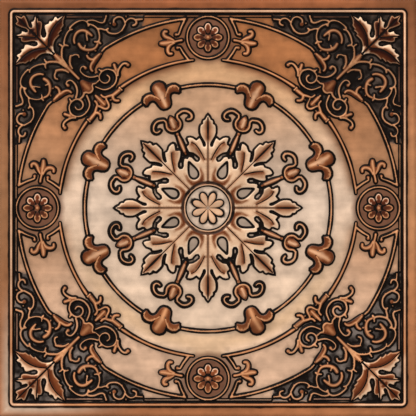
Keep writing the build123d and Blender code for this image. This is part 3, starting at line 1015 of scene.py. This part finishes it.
def eightfold(p, faces, marks):
    """Mirror the octant round the tile and weld the seams. Marks has a row for each value."""
    whole, tris = [], []
    for swap, sx, sy in product((False, True), (1, -1), (1, -1)):
        turned = (sx * sy < 0) != swap
        tris.append((faces[:, ::-1] if turned else faces) + len(p) * len(whole))
        whole.append((p[:, ::-1] if swap else p) * (sx, sy))
    whole, tris = np.vstack(whole), np.vstack(tris)
    key = np.round(whole * 200).astype(np.int64)
    _, first, back = np.unique(key, axis=0, return_index=True, return_inverse=True)
    tris = back.ravel()[tris]
    return whole[first], tris[(tris != np.roll(tris, 1, axis=1)).all(1)], np.tile(marks, 8)[:, first]


def back_sheet():
    """The hollow underside: a coarser sheet one thickness below the face, flat under the flange."""
    axis = np.linspace(-HALF, HALF, int(2 * HALF / BACK_STEP) + 1)
    p = np.stack(np.meshgrid(axis, axis), axis=-1).reshape(-1, 2)
    low = np.full(len(p), 1e9)
    for probe in product(PROBES, PROBES):
        q = np.sort(np.abs(p + probe), axis=1)
        low = np.minimum(low, ground(q) + relief(q)[0])
    z = np.where(np.abs(p).max(1) > FLAT_FLANGE, 0, np.maximum(low - SHEET, 0))
    k = np.arange(len(p)).reshape(len(axis), -1)
    a, b, c, d = k[:-1, :-1].ravel(), k[:-1, 1:].ravel(), k[1:, 1:].ravel(), k[1:, :-1].ravel()
    return np.column_stack([p, z]), np.vstack([np.column_stack([a, c, b]), np.column_stack([a, d, c])])


def edge_ring(points):
    """The points on the tile's edge, in order round it."""
    on = np.flatnonzero(np.abs(points[:, :2]).max(1) > HALF - 0.01)
    return on[np.argsort(np.arctan2(points[on, 1], points[on, 0]))]


def rim_faces(top, bottom):
    """The cut edge of the sheet, joining the face to the back."""
    a, b = edge_ring(top), edge_ring(bottom) + len(top)
    c, d = np.roll(b, -1), np.roll(a, -1)
    return np.vstack([np.column_stack([a, b, c]), np.column_stack([a, c, d])])


def store(mesh, name, values):
    """Keep a value or a colour for each point of the mesh."""
    kind, field = ("FLOAT_COLOR", "color") if np.ndim(values) == 2 else ("FLOAT", "value")
    mesh.attributes.new(name, kind, "POINT").data.foreach_set(field, np.ravel(values).astype(np.float32))


def make_tile():
    """The whole tile as one closed mesh."""
    all_forms()
    p, faces = triangulate(octant_net())
    rise, dirt, *shades = relief(p)
    low = in_corner_ground(p)
    marks = np.array([ground(p) + rise, rise, place_dirt(p, rise, dirt), *shades, low])
    flat, front, (z, rise, dirt, stain, crest_wipe_and_highlight, warm, ground_shadow, low) = eightfold(p, faces, marks)
    film = blend(ground_film(flat, low, ground_shadow), raised_film(flat, stain, crest_wipe_and_highlight, warm),
                 smooth(rise, 0.2, 1)[:, None])
    top = np.column_stack([flat, z])
    bottom, back = back_sheet()
    verts = np.vstack([top, bottom]) * MM
    tris = np.vstack([front, back + len(top), rim_faces(top, bottom)])
    mesh = bpy.data.meshes.new("tile_sheet")
    mesh.from_pydata(verts.tolist(), [], tris.tolist())
    store(mesh, "patina", np.concatenate([dirt, np.zeros(len(bottom))]))
    x, y = np.abs(verts[:, :2].T)
    store(mesh, "grain", (x > 281 * MM) & (x > y))
    colour = np.vstack([film, np.tile(WHITE, (len(bottom), 1))])
    store(mesh, "film", np.column_stack([colour, np.ones(len(verts))]))
    unwrap(mesh, verts, tris, len(front))
    k = np.arange(len(tris))
    mesh.polygons.foreach_set("use_smooth", k < len(front) + len(back))
    mesh.polygons.foreach_set("material_index", (k >= len(front)).astype(int))
    mesh.update()
    return new_object("tile_sheet", mesh)


def new_object(name, data):
    """An object in the scene."""
    obj = bpy.data.objects.new(name, data)
    bpy.context.scene.collection.objects.link(obj)
    return obj


def unwrap(mesh, verts, tris, face_count):
    """Flat texture map: the face in a big square, and the rest in a small one beside it."""
    uv = mesh.uv_layers.new(name="OFBake")
    flat = verts[tris.ravel(), :2] / (2 * HALF * MM) + 0.5
    front = np.repeat(np.arange(len(tris)) < face_count, 3)[:, None]
    placed = np.where(front, 0.01 + 0.75 * flat, np.array((0.78, 0.01)) + 0.2 * flat)
    uv.data.foreach_set("uv", placed.astype(np.float32).ravel())


# Materials


def material(name, values):
    """A new material with these values on its shader."""
    mat = bpy.data.materials.new(name)
    mat.use_nodes = True
    for socket, value in values.items():
        mat.node_tree.nodes["Principled BSDF"].inputs[socket].default_value = value
    return mat


def node(tree, kind, inputs, output, **settings):
    """The output of a new node. An input is a value or another node's output."""
    new = tree.nodes.new("ShaderNode" + kind)
    for name, value in settings.items():
        setattr(new, name, value)
    for name, value in inputs.items():
        if isinstance(value, bpy.types.NodeSocket):
            tree.links.new(value, new.inputs[name])
        else:
            new.inputs[name].default_value = value
    return new.outputs[output]


def copper_film():
    """Antique copper film: clean film on the crests, brown stain on the flanks, black in the hollows. The
    film colour also holds painted light, shade, shadow and highlights.
    """
    mat = material("copper_film", {"Metallic": 0.15, "Roughness": 0.5, "Specular IOR Level": 0.1})
    tree = mat.node_tree
    film, grain, dirt = [node(tree, "Attribute", {}, output, attribute_name=name)
                         for name, output in (("film", "Color"), ("grain", "Fac"), ("patina", "Fac"))]
    streaks = {"Factor": grain, "A": noise(tree, (1, 10, 1), 7.0), "B": noise(tree, (10, 1, 1), 7.0)}
    film = shaded(tree, film, noise(tree, (1, 1.6, 1), 11.0), 0.18)
    film = shaded(tree, film, noise(tree, (1, 1, 1), 55.0), 0.16)
    film = shaded(tree, film, node(tree, "Mix", streaks, "Result"), 0.16)
    dirt = clouded(tree, dirt, noise(tree, (1, 1, 1), 34.0), 0.9)
    black = node(tree, "MapRange", {"Value": dirt, "From Min": 0.16, "From Max": 0.46}, "Result",
                 interpolation_type="SMOOTHSTEP")
    colour = node(tree, "Mix", {"Factor": black, "A": film, "B": (*BLACK, 1)}, "Result", data_type="RGBA")
    tree.links.new(colour, tree.nodes["Principled BSDF"].inputs["Base Color"])
    return mat


def noise(tree, stretch, scale):
    """A soft cloud or streak pattern round one half."""
    place = node(tree, "TexCoord", {}, "Object")
    place = node(tree, "Mapping", {"Vector": place, "Scale": stretch}, "Vector")
    return node(tree, "TexNoise", {"Vector": place, "Scale": scale, "Detail": 4.0}, "Fac")


def clouded(tree, value, pattern, amount):
    """A value moved up or down by a pattern."""
    shift = node(tree, "Math", {0: pattern, 1: amount, 2: -amount / 2}, "Value", operation="MULTIPLY_ADD")
    return node(tree, "Math", {0: value, 1: shift}, "Value", operation="ADD")


def shaded(tree, colour, pattern, depth):
    """A colour made lighter and darker by a pattern, with the same mean."""
    span = {"Value": pattern, "From Min": 0.25, "From Max": 0.75, "To Min": 1 - depth, "To Max": 1 + depth}
    gain = node(tree, "MapRange", span, "Result")
    return node(tree, "VectorMath", {0: colour, "Scale": gain}, "Vector", operation="SCALE")


def white_pvc():
    """Plain white PVC of the back."""
    return material("white_pvc", {"Base Color": (*WHITE, 1), "Roughness": 0.5})


tile = make_tile()
tile.data.materials.append(copper_film())
tile.data.materials.append(white_pvc())
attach(tile, "root")
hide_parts("ceiling_tile")


# Floor, light and camera


def floor():
    """Plain pale floor."""
    bpy.ops.mesh.primitive_plane_add(size=8, location=(0, 0, -0.0005))
    plane = bpy.context.object
    plane.name = "floor"
    grey = material("floor_grey", {"Base Color": (0.75, 0.75, 0.75, 1), "Roughness": 0.9})
    plane.data.materials.append(grey)


def key_light():
    """Soft, even light from above the tile's upper left."""
    lamp = bpy.data.lights.new("key", "SUN")
    lamp.energy = 1.9
    lamp.angle = 0.5
    obj = new_object("key", lamp)
    obj.rotation_euler = Vector((-0.45, 0.9, 0.85)).to_track_quat("Z", "Y").to_euler()


def camera():
    """Straight above the tile, with the tile filling the frame."""
    data = bpy.data.cameras.new("camera")
    data.lens = 120
    data.sensor_width = 36
    obj = new_object("camera", data)
    obj.location = (0, 0, 0.998 * 2 * HALF * MM * data.lens / data.sensor_width)
    bpy.context.scene.camera = obj


def studio():
    """Plain white surroundings."""
    world = bpy.data.worlds.new("studio")
    world.use_nodes = True
    world.node_tree.nodes["Background"].inputs["Color"].default_value = (1, 1, 1, 1)
    world.node_tree.nodes["Background"].inputs["Strength"].default_value = 0.62
    bpy.context.scene.world = world


floor()
key_light()
camera()
studio()
bpy.context.scene.view_settings.view_transform = "Standard"
